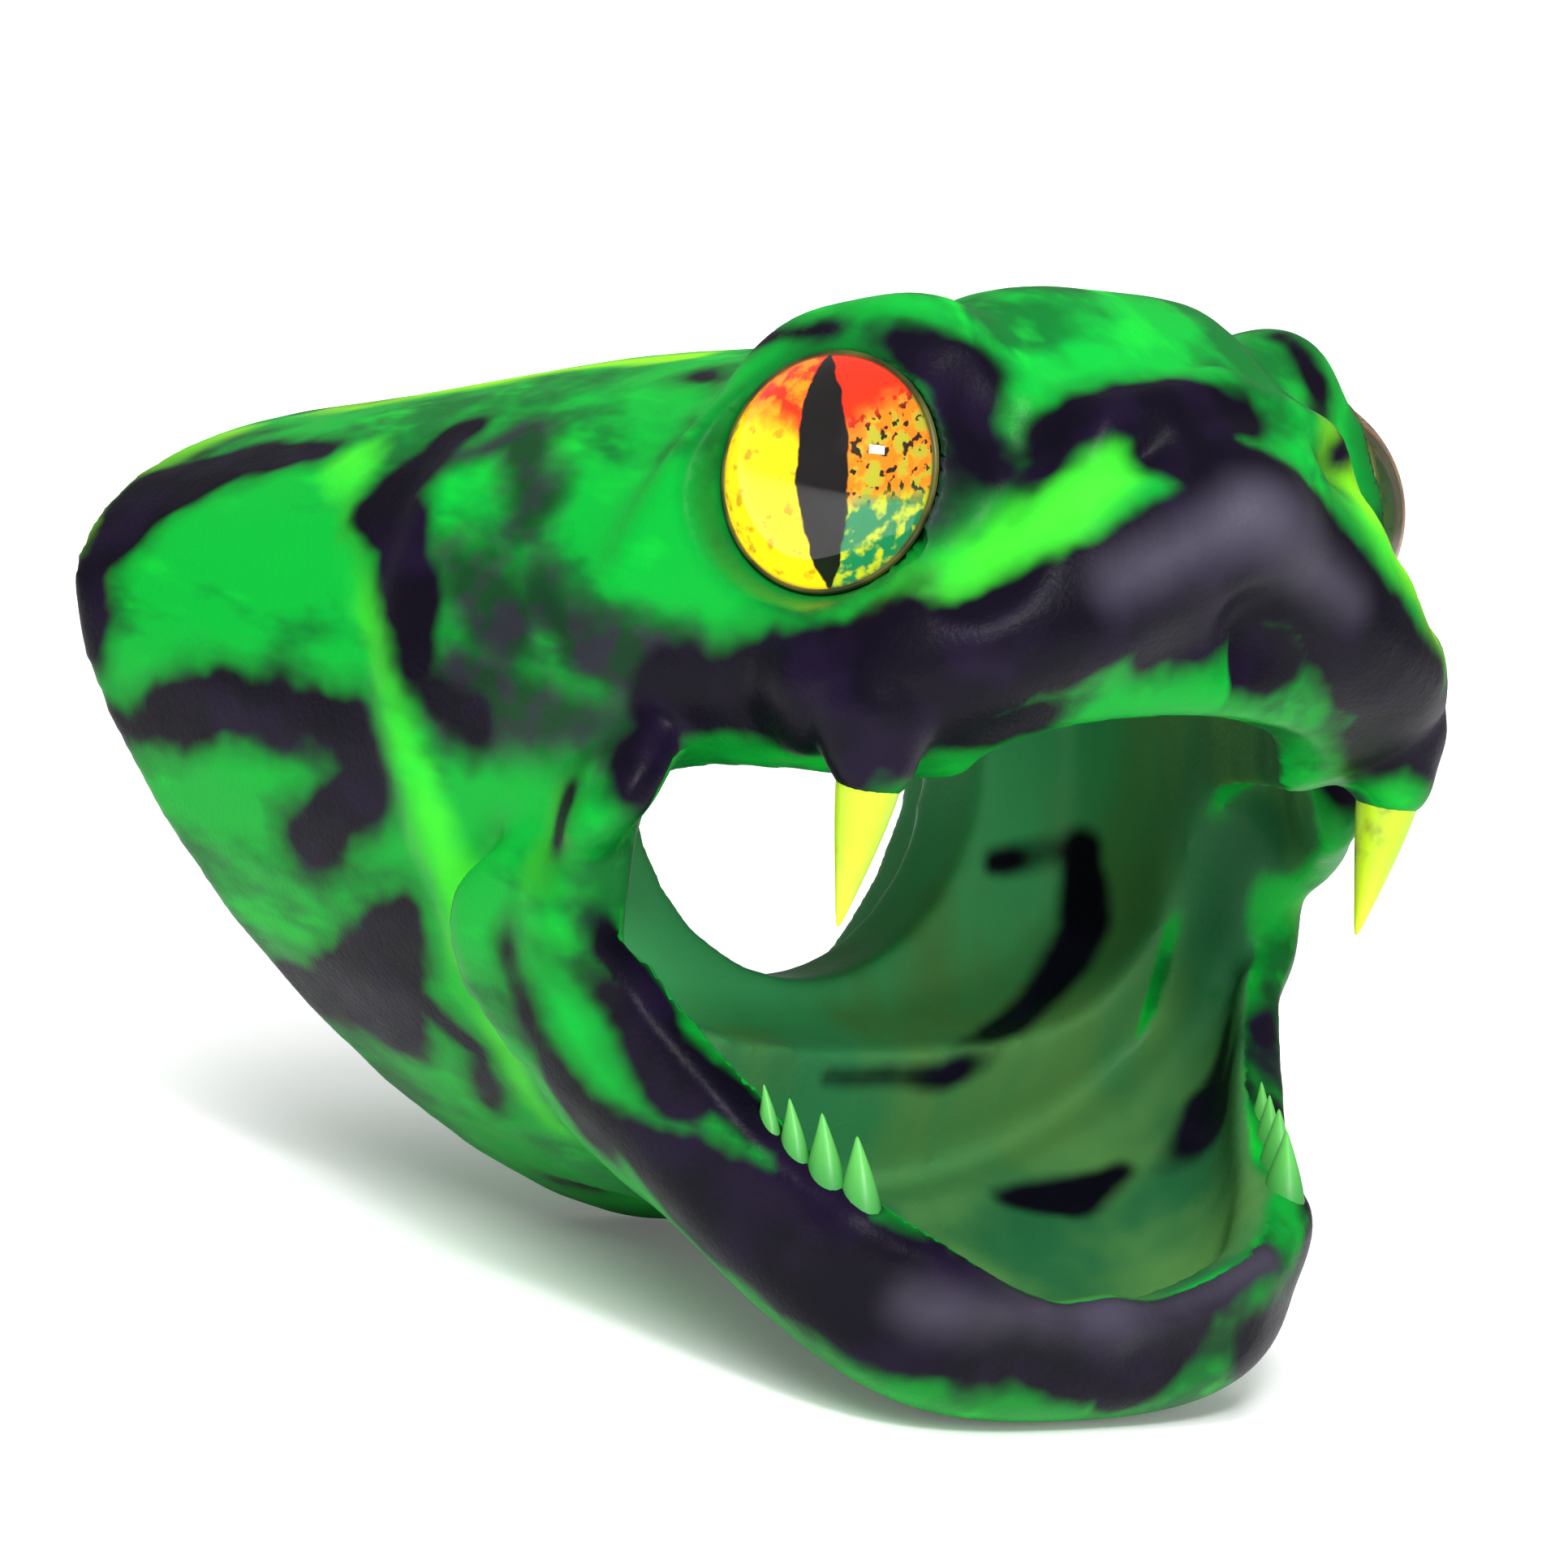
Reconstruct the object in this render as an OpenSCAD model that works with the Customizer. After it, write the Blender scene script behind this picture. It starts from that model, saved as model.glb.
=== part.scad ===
// Hollow snake head topper with a sprung lower jaw.
// Snout along -Y, up along +Z, symmetric about the YZ plane.
// It stands on its chin and on the bottom of its collar, at z = 0.

/* [Head] */
// snout tip to the top of the rear rim, along Y
head_length = 65; // [54:0.5:78]
// across the rear of the hood
hood_width = 61.6; // [52:0.5:74]
// table to the top of the crown
head_height = 56.5; // [50:0.5:68]
// wall of the hood behind the throat
wall = 3.5; // [2.5:0.1:4.4]

/* [Neck bore] */
// round bore through the throat wall
bore_d = 24; // [18:0.5:25]
// thickness of the throat wall along the bore
throat_t = 5.8; // [4:0.1:7.5]
// downward slope of the bore toward the rear, degrees
bore_tilt = 12; // [8:1:18]

/* [Eyes] */
// glass dome across its flat back
eye_d = 12; // [9:0.1:14.4]
// height of the glass dome
eye_h = 4.2; // [3:0.1:5]
// turn of each eye away from straight ahead, degrees
eye_yaw = 70; // [60:1:80]
// upward tilt of each eye, degrees
eye_tilt = 10; // [0:1:15]

/* [Teeth] */
// length of each fang below the lip
fang_l = 7.6; // [5:0.1:9.5]
// fang across its root end
fang_d = 3.8; // [3:0.1:4.4]
// height of the front lower tooth above the jaw
tooth_h = 4; // [3:0.1:4.8]
// front lower tooth across its base
tooth_d = 2.1; // [1.6:0.1:2.5]

/* [Jaw] */
// jaw outer width at its arms
jaw_width = 51.6; // [48:0.2:56]
// thickness of the jaw wall
jaw_wall = 3.2; // [2.6:0.1:3.8]
// gap between the jaw arm and the head beside it
arm_gap = 0.4; // [0.3:0.05:0.8]

/* [Hidden] */

// Stations are written for the nominal head and stretched to the sizes above.
ky = head_length / 65;
kx = hood_width / 61.6;
kz = head_height / 56.5;
RING = 36;      // points round a loft
STEPS = 3;      // rings made between two stations

// hinge through the mouth corners, and the rounded end of each jaw arm
hinge_y = -10.5 * ky;
hinge_z = 20 * kz;
knuckle_r = 5;
arm_in = jaw_width / 2 - jaw_wall;

// throat wall and neck bore: both faces of the wall are square to the bore
throat_y0 = -1.8 * ky;
throat_y1 = throat_y0 + throat_t / cos(bore_tilt);
bore_z = 28.4 * kz;
bore_clear = 4;
throat_lean = tan(bore_tilt) * kz / ky;
palate_back = (throat_y0 - tan(bore_tilt) * bore_z) / ky;
hood_front = (throat_y1 - tan(bore_tilt) * bore_z) / ky;

// eyes
eye_x = 18.4 * kx;
eye_y = -20.2 * ky;
eye_z = 46.5 * kz;
iris_t = 0.5;
iris_r = eye_d / 2 - 0.15;
seat_depth = 1.6;
socket_gap = 0.1;
dome_r = (eye_d * eye_d / 4 + eye_h * eye_h) / (2 * eye_h);

// fangs
fang_x = 17.6 * kx;
fang_y = -27.2 * ky;
fang_z = 32.6 * kz;
fang_root = 3;
fang_blunt = 0.25;

// lower teeth, front to back: [share of half jaw width, y, z, share of full size]
tooth_root = 2.2;
tooth_neck = 0.9;
tooth_blunt = 0.2;

// dip across the front of the jaw's lip
lip_dip_r = 20;
lip_dip_z = 26.2 * kz;
TEETH = [[0.556, -28.4, 10.6, 1], [0.593, -26.6, 11.6, 0.92],
         [0.624, -24.9, 12.6, 0.74], [0.648, -23.5, 13.5, 0.6]];

// [y, lean of the ring, half width, bottom, widest, top, top power, bottom power]
HEAD = [[-32.5, 0, 9.0, 38.6, 43.0, 48.4, 2.1, 2.2],
        [-31.3, 0, 13.4, 36.8, 42.0, 50.8, 2.1, 2.6],
        [-27.4, 0, 18.8, 32.6, 39.5, 53.4, 2.1, 3.4],
        [-20.0, 0, 20.8, 30.0, 39.0, 56.5, 2.5, 3.6],
        [-14.0, 0, 22.8, 28.2, 37.0, 55.4, 2.5, 3.4],
        [-12.0, 0, 23.8, 25.0, 35.0, 54.2, 2.4, 3.2],
        [-9.6, 0, 24.4, 4.8, 30.0, 52.6, 2.4, 2.2],
        [-5.0, 0.06, 25.3, 3.4, 29.5, 50.6, 2.4, 2.0],
        [0.0, 0.18, 26.9, 1.8, 29.0, 48.2, 2.3, 1.85],
        [4.6, 0.40, 29.2, 0.5, 29.0, 44.0, 2.2, 1.65],
        [7.9, 0.6, 30.8, 0.0, 29.0, 41.0, 2.1, 1.55]];

// space behind the throat wall, out through the rear
HOOD_SPACE = [[hood_front, throat_lean, 21.0, 13.0, 27.0, 42.6, 2.4, 2.6],
              [hood_front + 2.6, 0.32, 24.0, 10.4, 28.0, 41.0, 2.2, 2.0],
              [9.2, 0.6, 28.4, 6.4, 28.6, 37.2, 2.1, 1.7]];

// hollow under the palate, open to the mouth
PALATE = [[-27.6, 0, 7.5, 30.0, 36.5, 41.0, 2.4, 4.0],
          [-24.0, 0, 13.0, 20.0, 30.0, 42.6, 2.4, 4.0],
          [-16.0, 0, 17.4, 15.6, 28.0, 43.6, 2.5, 3.6],
          [-8.0, 0, 19.0, 14.4, 27.0, 43.0, 2.5, 3.0],
          [palate_back, throat_lean, 18.2, 15.4, 27.0, 42.4, 2.5, 2.6]];

// full jaw body before it is hollowed and trimmed
JAW = [[-32.4, 0, 10.4, 2.0, 6.0, 13.0, 2.4, 2.4],
       [-31.2, 0, 13.0, 0.6, 6.5, 15.0, 2.6, 2.6],
       [-28.6, 0, 15.9, 0.0, 8.0, 20.0, 2.8, 2.6],
       [-23.0, 0, 18.9, 0.6, 11.0, 26.0, 3.0, 2.2],
       [-17.0, 0, 22.6, 2.0, 16.0, 32.0, 3.2, 1.9],
       [-12.5, 0, 25.4, 2.6, 20.0, 36.0, 3.4, 1.8],
       [-5.0, 0, 25.8, 2.6, 21.0, 38.0, 3.4, 1.8]];

// hollow of the jaw
BOWL = [[-29.8, 0, 9.8, 5.0, 9.0, 17.0, 2.6, 2.4],
        [-27.2, 0, 12.5, 3.4, 10.0, 24.0, 3.0, 2.4],
        [-22.0, 0, 15.8, 3.6, 12.0, 31.0, 3.2, 2.2],
        [-16.4, 0, 19.9, 5.2, 17.0, 36.0, 3.4, 1.9],
        [-12.0, 0, 22.6, 6.0, 21.0, 40.0, 3.6, 1.8],
        [-4.0, 0, 22.6, 6.0, 22.0, 42.0, 3.6, 1.8]];

// side outline of the jaw, [y, z]: lip line down the front, back under the chin
JAW_SIDE = [[-34.0, -1.0], [-34.0, 9.0], [-29.0, 10.6], [-24.0, 13.4],
            [-18.0, 18.6], [-14.4, 23.2], [-10.5, 25.0], [-6.4, 17.2], [-9.4, 13.6],
            [-12.0, 8.6], [-12.4, -1.0]];

// side outline of the space between the two arms, which the throat fills
ARM_SPAN = [[-13.4, 42.0], [-13.4, 18.0], [-11.6, 12.5], [-11.6, -2.0], [2.0, -2.0], [2.0, 42.0]];

// side outline of the pocket that the arm turns in
ARM_POCKET = [[-20.0, 25.8], [-15.2, 26.4], [-10.5, 27.0], [-4.6, 22.0], [-4.4, 16.4],
              [-7.2, 12.4], [-9.8, 7.4], [-10.4, -1.0], [-20.0, -1.0]];

function blend4(a, b, c, d, t) =
    0.5 * (2 * b + (c - a) * t + (2 * a - 5 * b + 4 * c - d) * t * t
           + (3 * b - a - 3 * c + d) * t * t * t);

function stations(s) =
    let (n = len(s) - 1)
    [for (i = [0 : n - 1]) for (j = [0 : STEPS - 1])
        blend4(s[max(i - 1, 0)], s[i], s[i + 1], s[min(i + 2, n)], j / STEPS),
     s[n]];

function sgn_pow(v, p) = sign(v) * pow(abs(v), p);

function ring(s, wide) =
    [for (i = [0 : RING - 1])
        let (a = 360 * (i + 0.5) / RING,
             p = 2 / (sin(a) >= 0 ? s[6] : s[7]),
             rise = sin(a) >= 0 ? s[5] - s[4] : s[4] - s[3],
             z = s[4] + rise * sgn_pow(sin(a), p))
        [s[2] * wide * sgn_pow(cos(a), p), (s[0] + s[1] * z) * ky, z * kz]];

module loft(table, wide) {
    rows = stations(table);
    last = len(rows) - 1;
    points = [for (s = rows) each ring(s, wide)];
    sides = [for (r = [0 : last - 1]) for (i = [0 : RING - 1])
        let (a = r * RING + i, b = r * RING + (i + 1) % RING)
        each [[a, b, b + RING], [a, b + RING, a + RING]]];
    front = [[for (i = [RING - 1 : -1 : 0]) i]];
    back = [[for (i = [0 : RING - 1]) last * RING + i]];
    polyhedron(points = points, faces = concat(sides, front, back), convexity = 6);
}

// extrude a [y, z] outline along X from x0 to x1
module side_plate(outline, x0, x1) {
    translate([x0, 0, 0]) rotate([90, 0, 90])
        linear_extrude(height = x1 - x0)
            polygon([for (p = outline) [p[0] * ky, p[1] * kz]]);
}

module both_sides() {
    children();
    mirror([1, 0, 0]) children();
}

// puts its children at the left eye, with the eye's axis along +Z
module at_eye() {
    translate([eye_x, eye_y, eye_z]) rotate([0, 0, eye_yaw - 90])
        rotate([0, 90 - eye_tilt, 0]) children();
}

module knuckle(r, x0, x1) {
    translate([x0, hinge_y, hinge_z]) rotate([0, 90, 0])
        cylinder(r = r, h = x1 - x0, $fn = 64);
}

module head_shell() {
    color("#27a03a") difference() {
        loft(HEAD, kx);
        loft(HOOD_SPACE, (hood_width / 2 - wall + 1.1) / 28.4);
        loft(PALATE, kx);
        translate([0, throat_y0, bore_z]) rotate([-90 - bore_tilt, 0, 0])
            translate([0, 0, -bore_clear])
                cylinder(d = bore_d, h = throat_t + 2 * bore_clear, $fn = 96);
        both_sides() at_eye() translate([0, 0, -seat_depth - iris_t])
            cylinder(d = eye_d + 2 * socket_gap, h = 12, $fn = 72);
        both_sides() translate([fang_x, fang_y, fang_z - 2])
            cylinder(d = fang_d, h = fang_root + 2, $fn = 40);
        both_sides() side_plate(ARM_POCKET, arm_in - arm_gap, hood_width / 2 + 4);
        both_sides() knuckle(knuckle_r + 1.6, arm_in - arm_gap, hood_width / 2 + 4);
    }
}

module lower_jaw() {
    color("#15402a") difference() {
        intersection() {
            loft(JAW, jaw_width / 51.6);
            union() {
                side_plate(JAW_SIDE, -jaw_width, jaw_width);
                knuckle(knuckle_r, -jaw_width, jaw_width);
            }
        }
        loft(BOWL, arm_in / 22.6);
        side_plate(ARM_SPAN, -arm_in, arm_in);
        translate([0, -26 * ky, lip_dip_z]) rotate([90, 0, 0])
            cylinder(r = lip_dip_r, h = 12, $fn = 120);
        for (i = [0 : 3]) both_sides() at_tooth(i) translate([0, 0, -tooth_root])
            cylinder(r = tooth_r(i), h = tooth_root + 6, $fn = 32);
    }
}

function tooth_r(i) = tooth_d * TEETH[i][3] / 2;

module at_tooth(i) {
    translate([TEETH[i][0] * jaw_width / 2, TEETH[i][1] * ky, TEETH[i][2] * kz]) children();
}

// A straight root, a neck that clears the gum, and a cone to a blunt tip, turned as one.
// Up for a positive tip, and hanging down for a negative one.
module peg(r, root, neck, tip, blunt) {
    rotate_extrude($fn = 40)
        polygon([[0, -root], [r, -root], [r, neck], [blunt, tip], [0, tip]]);
}

module eye_glass() {
    color("#e0d040") at_eye() translate([0, 0, -seat_depth]) intersection() {
        translate([0, 0, eye_h - dome_r]) sphere(r = dome_r, $fn = 96);
        cylinder(d = eye_d, h = eye_h + 1, $fn = 96);
    }
}

module iris_disc() {
    color("#d04020") at_eye() translate([0, 0, -seat_depth - iris_t])
        cylinder(r = iris_r, h = iris_t, $fn = 96);
}

module fang() {
    color("#c8f020") translate([fang_x, fang_y, fang_z])
        peg(r = fang_d / 2, root = -fang_root, neck = 0, tip = -fang_l, blunt = fang_blunt);
}

module tooth(i) {
    color("#60c060") at_tooth(i)
        peg(r = tooth_r(i), root = tooth_root, neck = tooth_neck,
            tip = tooth_h * TEETH[i][3], blunt = tooth_blunt);
}

head_shell();
lower_jaw();
eye_glass();  // eye_glass_left
mirror([1, 0, 0]) eye_glass();  // eye_glass_right
iris_disc();  // iris_disc_left
mirror([1, 0, 0]) iris_disc();  // iris_disc_right
fang();  // fang_left
mirror([1, 0, 0]) fang();  // fang_right
tooth(0);  // tooth_left_1
tooth(1);  // tooth_left_2
tooth(2);  // tooth_left_3
tooth(3);  // tooth_left_4
mirror([1, 0, 0]) tooth(0);  // tooth_right_1
mirror([1, 0, 0]) tooth(1);  // tooth_right_2
mirror([1, 0, 0]) tooth(2);  // tooth_right_3
mirror([1, 0, 0]) tooth(3);  // tooth_right_4
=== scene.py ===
# %% [markdown]
# # A marbled silicone snake head, built round a fixed mechanical frame
#
# The object is a hollow snake head in soft moulded silicone. It is one
# continuous skin: a flared hood, a throat with a round bore, brows, a snout and
# an open lower jaw. Two glass domes are pressed into its eye sockets, and fangs
# and small lower teeth are set into its lips. The frame gives every size and
# place, so the script starts by loading it and keeping its box.

import math

import bmesh
import bpy
import numpy as np
from mathutils import Matrix, Vector


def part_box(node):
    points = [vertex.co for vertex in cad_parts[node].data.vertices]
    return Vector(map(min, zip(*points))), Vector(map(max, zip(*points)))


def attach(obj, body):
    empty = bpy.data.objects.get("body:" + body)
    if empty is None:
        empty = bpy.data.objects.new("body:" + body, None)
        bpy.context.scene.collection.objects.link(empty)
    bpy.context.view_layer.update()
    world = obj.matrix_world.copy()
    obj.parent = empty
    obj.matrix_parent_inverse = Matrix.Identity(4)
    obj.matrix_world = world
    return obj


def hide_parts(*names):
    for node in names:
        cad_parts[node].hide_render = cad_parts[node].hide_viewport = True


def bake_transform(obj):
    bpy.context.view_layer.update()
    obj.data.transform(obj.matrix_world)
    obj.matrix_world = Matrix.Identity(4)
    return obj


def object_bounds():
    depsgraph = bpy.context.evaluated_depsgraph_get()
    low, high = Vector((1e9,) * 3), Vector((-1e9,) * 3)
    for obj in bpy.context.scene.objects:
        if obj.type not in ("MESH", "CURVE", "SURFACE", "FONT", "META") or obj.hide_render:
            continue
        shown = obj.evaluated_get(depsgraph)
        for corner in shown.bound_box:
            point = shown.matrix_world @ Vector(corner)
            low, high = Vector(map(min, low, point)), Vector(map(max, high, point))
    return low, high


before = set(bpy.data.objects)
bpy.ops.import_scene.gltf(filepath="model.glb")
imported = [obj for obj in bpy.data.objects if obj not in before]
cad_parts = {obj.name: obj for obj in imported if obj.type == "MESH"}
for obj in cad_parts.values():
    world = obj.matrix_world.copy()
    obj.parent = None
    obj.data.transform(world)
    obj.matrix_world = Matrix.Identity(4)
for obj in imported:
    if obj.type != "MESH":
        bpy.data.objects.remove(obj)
cad_low, cad_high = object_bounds()
MM = 0.001
print("box in mm:", [round(v / MM, 1) for v in (*cad_low, *cad_high)])

# %% [markdown]
# ## The camera
#
# A long lens from well back keeps the small head free of perspective swelling.
# The camera stands to the snake's right and a little above it, and it is rolled
# by about ten degrees. A camera's own axes are easiest to give as two
# directions: where it looks from, and which way is up for it.

# %% Camera
camera_place = Vector((-206.88, -249.48, 79.39)) * MM
camera_back = Vector((-0.6293, -0.7602, 0.1616)).normalized()
camera_up = Vector((-0.0271, 0.2293, 0.9730))
camera_right = camera_up.cross(camera_back).normalized()
camera_up = camera_back.cross(camera_right)
camera_data = bpy.data.cameras.new("portrait_lens")
camera_data.lens = 140
camera_data.sensor_width = 36
camera_data.clip_start = 0.01
camera_data.clip_end = 20
camera = bpy.data.objects.new("portrait_camera", camera_data)
camera.matrix_world = Matrix.Translation(camera_place) @ Matrix(
    (camera_right, camera_up, camera_back)).transposed().to_4x4()
bpy.context.scene.collection.objects.link(camera)
bpy.context.scene.camera = camera
print("camera distance in mm:", round(camera_place.length / MM))

# %% [markdown]
# ## The studio
#
# A flat pale floor and a few large soft lamps are all a product picture needs.
# The large lamps light everything but are left out of reflections, so that one
# small lamp, placed later, is the only one that gloss and glass mirror.

# %% Floor
def plain_shader(name, colour, roughness):
    made = bpy.data.materials.new(name)
    made.use_nodes = True
    shader = made.node_tree.nodes["Principled BSDF"]
    shader.inputs["Base Color"].default_value = (*colour, 1)
    shader.inputs["Roughness"].default_value = roughness
    return made


def flat_sheet(name, half, height):
    mesh = bpy.data.meshes.new(name)
    corners = [(-half, -half, height), (half, -half, height), (half, half, height), (-half, half, height)]
    mesh.from_pydata(corners, [], [(0, 1, 2, 3)])
    made = bpy.data.objects.new(name, mesh)
    bpy.context.scene.collection.objects.link(made)
    return made


bpy.context.scene.view_settings.view_transform = "Standard"
floor_half = 6.0
floor_gap = 0.1 * MM
floor = flat_sheet("studio_floor", floor_half, cad_low.z - floor_gap)
floor_paper = plain_shader("pale_paper", (0.9, 0.9, 0.9), 0.9)
floor.data.materials.append(floor_paper)
print("floor height in mm:", round((cad_low.z - floor_gap) / MM, 2))

# %% [markdown]
# ## A background that stays white
#
# Far from the lamps the paper would turn grey. More light would wash the head
# out, so the paper and the sky are brighter only for rays that come straight
# from the lens.

# %% Paper and sky
paper = floor_paper.node_tree
paper_place = paper.nodes.new("ShaderNodeNewGeometry")
reach = paper.nodes.new("ShaderNodeVectorMath")
reach.operation = "LENGTH"
far_paper = paper.nodes.new("ShaderNodeMapRange")
far_paper.inputs["From Min"].default_value = 0.04
far_paper.inputs["From Max"].default_value = 0.30
far_paper.inputs["To Min"].default_value = 0.10
far_paper.inputs["To Max"].default_value = 1.00
lens_ray = paper.nodes.new("ShaderNodeLightPath")
glow = paper.nodes.new("ShaderNodeMath")
glow.operation = "MULTIPLY"
paper.links.new(paper_place.outputs["Position"], reach.inputs[0])
paper.links.new(reach.outputs["Value"], far_paper.inputs["Value"])
paper.links.new(far_paper.outputs[0], glow.inputs[0])
paper.links.new(lens_ray.outputs["Is Camera Ray"], glow.inputs[1])
paper_shader = paper.nodes["Principled BSDF"]
paper_shader.inputs["Emission Color"].default_value = (1, 1, 1, 1)
paper.links.new(glow.outputs[0], paper_shader.inputs["Emission Strength"])

world = bpy.data.worlds.new("soft_room")
bpy.context.scene.world = world
world.use_nodes = True
sky = world.node_tree
sky_ray = sky.nodes.new("ShaderNodeLightPath")
sky_level = sky.nodes.new("ShaderNodeMapRange")
sky_level.inputs["To Min"].default_value = 0.30
sky_level.inputs["To Max"].default_value = 1.0
sky.nodes["Background"].inputs["Color"].default_value = (1, 1, 1, 1)
sky.links.new(sky_ray.outputs["Is Camera Ray"], sky_level.inputs["Value"])
sky.links.new(sky_level.outputs[0], sky.nodes["Background"].inputs["Strength"])
print("world:", world.name)


# %% Soft lamps
def soft_lamp(name, place, aim, size, watts, mirrored_in_gloss=False):
    data = bpy.data.lights.new(name, "AREA")
    data.shape = "RECTANGLE"
    data.size, data.size_y = size
    data.energy = watts
    lamp = bpy.data.objects.new(name, data)
    lamp.location = Vector(place) * MM
    toward = Vector(aim) * MM - lamp.location
    lamp.rotation_mode = "QUATERNION"
    lamp.rotation_quaternion = toward.to_track_quat("-Z", "Y")
    lamp.visible_glossy = mirrored_in_gloss
    bpy.context.scene.collection.objects.link(lamp)


head_middle = (0, -6, 30)
soft_lamp("key_lamp", (-330, -260, 420), head_middle, (0.30, 0.30), 3.3)
soft_lamp("fill_lamp", (-60, -520, 160), head_middle, (0.40, 0.30), 1.1)
soft_lamp("top_lamp", (60, 60, 480), head_middle, (0.35, 0.35), 1.5)

# %% [markdown]
# ## The silicone skin
#
# The real head and jaw are one casting, so they get one mesh. It could be
# modelled from nothing, but the frame already holds the right walls, bore and
# jaw. Copies of both solids are joined with a few plugs that close the gaps
# between them, and a voxel remesh melts the lot into one even skin of small
# quads, as clay would be. Rounding comes from smoothing, and the sculpted forms
# come after it.

# %% Clay helpers
def mesh_object(name, points, faces):
    mesh = bpy.data.meshes.new(name)
    mesh.from_pydata([tuple(p) for p in points], [], [tuple(f) for f in faces])
    made = bpy.data.objects.new(name, mesh)
    bpy.context.scene.collection.objects.link(made)
    return made


def add_ball(bm, place, radius):
    bmesh.ops.create_icosphere(
        bm, subdivisions=2, radius=radius * MM, matrix=Matrix.Translation(Vector(place) * MM))


def add_bar(bm, points, radius):
    """A chain of overlapping balls along a line of points."""
    for a, b in zip(points, points[1:]):
        a, b = Vector(a), Vector(b)
        steps = max(2, int((b - a).length / (radius * 0.5)))
        for i in range(steps + 1):
            add_ball(bm, a.lerp(b, i / steps), radius)


def add_plate(bm, outline, x_inner, x_outer):
    """A lengthwise plate on each side, with its outline in (y, z), between two x values."""
    for x0, x1 in ((x_inner, x_outer), (-x_outer, -x_inner)):
        sides = [[bm.verts.new(Vector((x, y, z)) * MM) for y, z in outline] for x in (x0, x1)]
        bm.faces.new(sides[0][::-1])
        bm.faces.new(sides[1])
        for i in range(len(outline)):
            j = (i + 1) % len(outline)
            bm.faces.new((sides[0][i], sides[0][j], sides[1][j], sides[1][i]))


def both(points):
    """The points, and their mirror image across the middle plane."""
    return points, [(-x, y, z) for x, y, z in points]


def circle(centre, right, up, radius, count):
    """Points round a centre, in the plane of two directions."""
    points = []
    for i in range(count):
        turn = math.tau * i / count
        points.append(centre + (right * math.cos(turn) + up * math.sin(turn)) * radius)
    return points


def add_melt(piece):
    """A voxel remesh, which makes one skin of everything that overlaps."""
    melt = piece.modifiers.new("melt", "REMESH")
    melt.mode = "VOXEL"
    melt.voxel_size = voxel


def add_smooth(piece, name, iterations, group=""):
    smooth = piece.modifiers.new(name, "SMOOTH")
    smooth.factor = 0.5
    smooth.iterations = iterations
    smooth.vertex_group = group


def apply_modifiers(piece):
    bpy.context.view_layer.update()
    graph = bpy.context.evaluated_depsgraph_get()
    final = bpy.data.meshes.new_from_object(piece.evaluated_get(graph))
    piece.modifiers.clear()
    piece.data = final


# %% Copy the two solids
voxel = 0.42 * MM
clay = bmesh.new()
for node in ("head_shell", "lower_jaw"):
    clay.from_mesh(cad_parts[node].data)
print("faces copied:", len(clay.faces))

# %% [markdown]
# ## Webs and bridges
#
# On the real casting a thin web of silicone stretches across each mouth corner,
# and the jaw runs on into the throat. The two solids leave a gap there so that
# the hinge can turn, so plates and bars of clay close it. The webs differ a
# little from side to side, because each was shaped until its corner looked
# whole.

# %% Webs at the mouth corners
arm_web = [(-13.4, 16), (-8.4, 15), (-5, 16), (-3.4, 18), (-3.4, 23), (-8, 28), (-14, 28.4), (-15, 24)]
add_plate(clay, arm_web, 20.0, 23.2)
mouth_corner = [(-17.0, 30), (-15.2, 26.5), (-13.4, 21), (-8, 20), (-7, 30)]
add_plate(clay, mouth_corner, 21.6, 24.0)
webs = (
    ([(21.5, -19, 31), (22.5, -17, 29.5), (23.2, -15, 26.5)], 2.1),
    ([(22.2, -16.5, 30.5), (22.4, -12.5, 29.5)], 1.9),
    ([(-22.2, -15.5, 31), (-22.4, -12.5, 29.5)], 1.7),
    ([(-22.5, -16, 30.5), (-23.2, -14.5, 27.5)], 1.7),
)
for path, radius in webs:
    add_bar(clay, path, radius)
print("webs:", len(webs))

# %% A bridge from the jaw to the throat
bridge_half_width = 22.6
bridge_top = 19.6
bridge_drop = 14.6
bridge_power = 1.1
bridge_steps = 60
bridge_rows = (-12.6, -11.2, -9.8)
for y in bridge_rows:
    for i in range(bridge_steps + 1):
        turn = math.pi * i / bridge_steps
        across = bridge_half_width * math.copysign(abs(math.cos(turn)) ** bridge_power, math.cos(turn))
        height = bridge_top - bridge_drop * abs(math.sin(turn)) ** bridge_power
        add_ball(clay, (across, y, height), 1.8)
print("bridge balls:", len(bridge_rows) * (bridge_steps + 1))

# %% Collars for the eyes
eye_yaw = math.radians(70)
eye_tilt = math.radians(10)
collar_radius = 4.6
eye_places = {}
for side, sign in (("right", -1), ("left", 1)):
    disc_low, disc_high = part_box(f"iris_disc_{side}")
    disc_middle = (disc_low + disc_high) / 2 / MM
    axis = Vector((
        sign * math.sin(eye_yaw) * math.cos(eye_tilt),
        -math.cos(eye_yaw) * math.cos(eye_tilt),
        math.sin(eye_tilt)))
    eye_places[side] = (disc_middle, axis)
    a = axis.cross(Vector((0, 0, 1))).normalized()
    b = axis.cross(a)
    for height in (0.2, 0.9, 1.6, 2.2):
        for place in circle(disc_middle + axis * height, a, b, collar_radius, 24):
            add_ball(clay, place, 1.0)
    add_bar(clay, [disc_middle - axis * 2.0, disc_middle + axis * 0.6], 4.4)
print("eye discs at:", {k: [round(c, 1) for c in v[0]] for k, v in eye_places.items()})

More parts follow.
